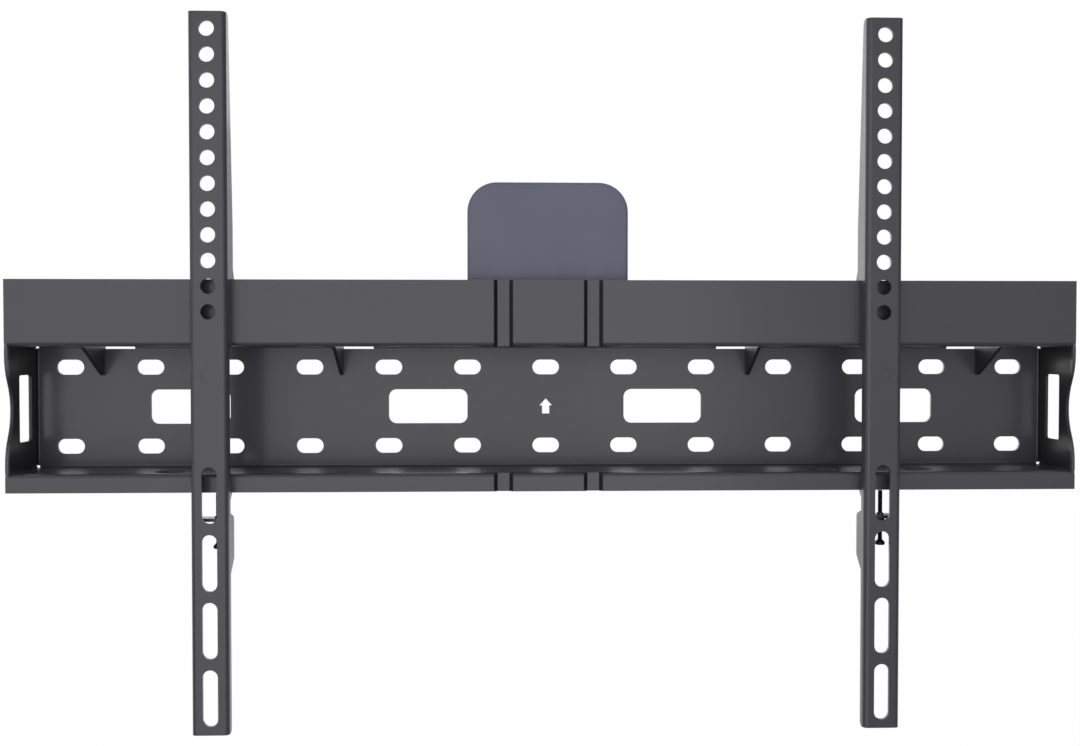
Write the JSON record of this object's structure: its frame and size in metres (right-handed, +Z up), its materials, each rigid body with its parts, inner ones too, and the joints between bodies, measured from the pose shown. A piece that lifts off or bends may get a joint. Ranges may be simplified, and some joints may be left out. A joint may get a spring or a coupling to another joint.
{
  "type": "tv mount",
  "caption": "Flat wall mount for a television: folded steel wall plate with a box shelf, and two perforated upright arms hooked over its lip.",
  "frame": {"origin": "middle of the wall fixing pattern, on the plate's back face that lies against the wall", "axes": "+X to the viewer's right along the plate, +Y into the wall, +Z up; the screen is on the -Y side"},
  "size_m": [0.645, 0.057, 0.4248],
  "materials": {
    "plate_coat": "satin dark grey powder coat",
    "arm_coat": "satin dark grey powder coat",
    "box_shell": "matt slate grey",
    "box_foot": "soft matt black",
    "nut_steel": "bright zinc plate",
    "screw_black": "black oxide"
  },
  "bodies": {
    "plate": {"wall_plate": "plate_coat", "media_box_case": "box_shell", "media_box_base": "box_foot"},
    "left_arm": {"left_arm": "arm_coat", "left_lock_nut": "nut_steel"},
    "left_lock_screw": {"left_lock_screw": "screw_black"},
    "right_arm": {"right_arm": "arm_coat", "right_lock_nut": "nut_steel"},
    "right_lock_screw": {"right_lock_screw": "screw_black"}
  },
  "joints": [
    {"name": "left_arm_slide", "type": "slide", "parent": "plate", "child": "left_arm", "axis": [1, 0, 0], "range_m": [-0.105, 0.15]},
    {"name": "left_lock_screw_travel", "type": "slide", "parent": "left_arm", "child": "left_lock_screw", "axis": [0, 0, 1], "range_m": [-0.012, 0]},
    {"name": "right_arm_slide", "type": "slide", "parent": "plate", "child": "right_arm", "axis": [1, 0, 0], "range_m": [-0.15, 0.105]},
    {"name": "right_lock_screw_travel", "type": "slide", "parent": "right_arm", "child": "right_lock_screw", "axis": [0, 0, 1], "range_m": [-0.012, 0]}
  ]
}
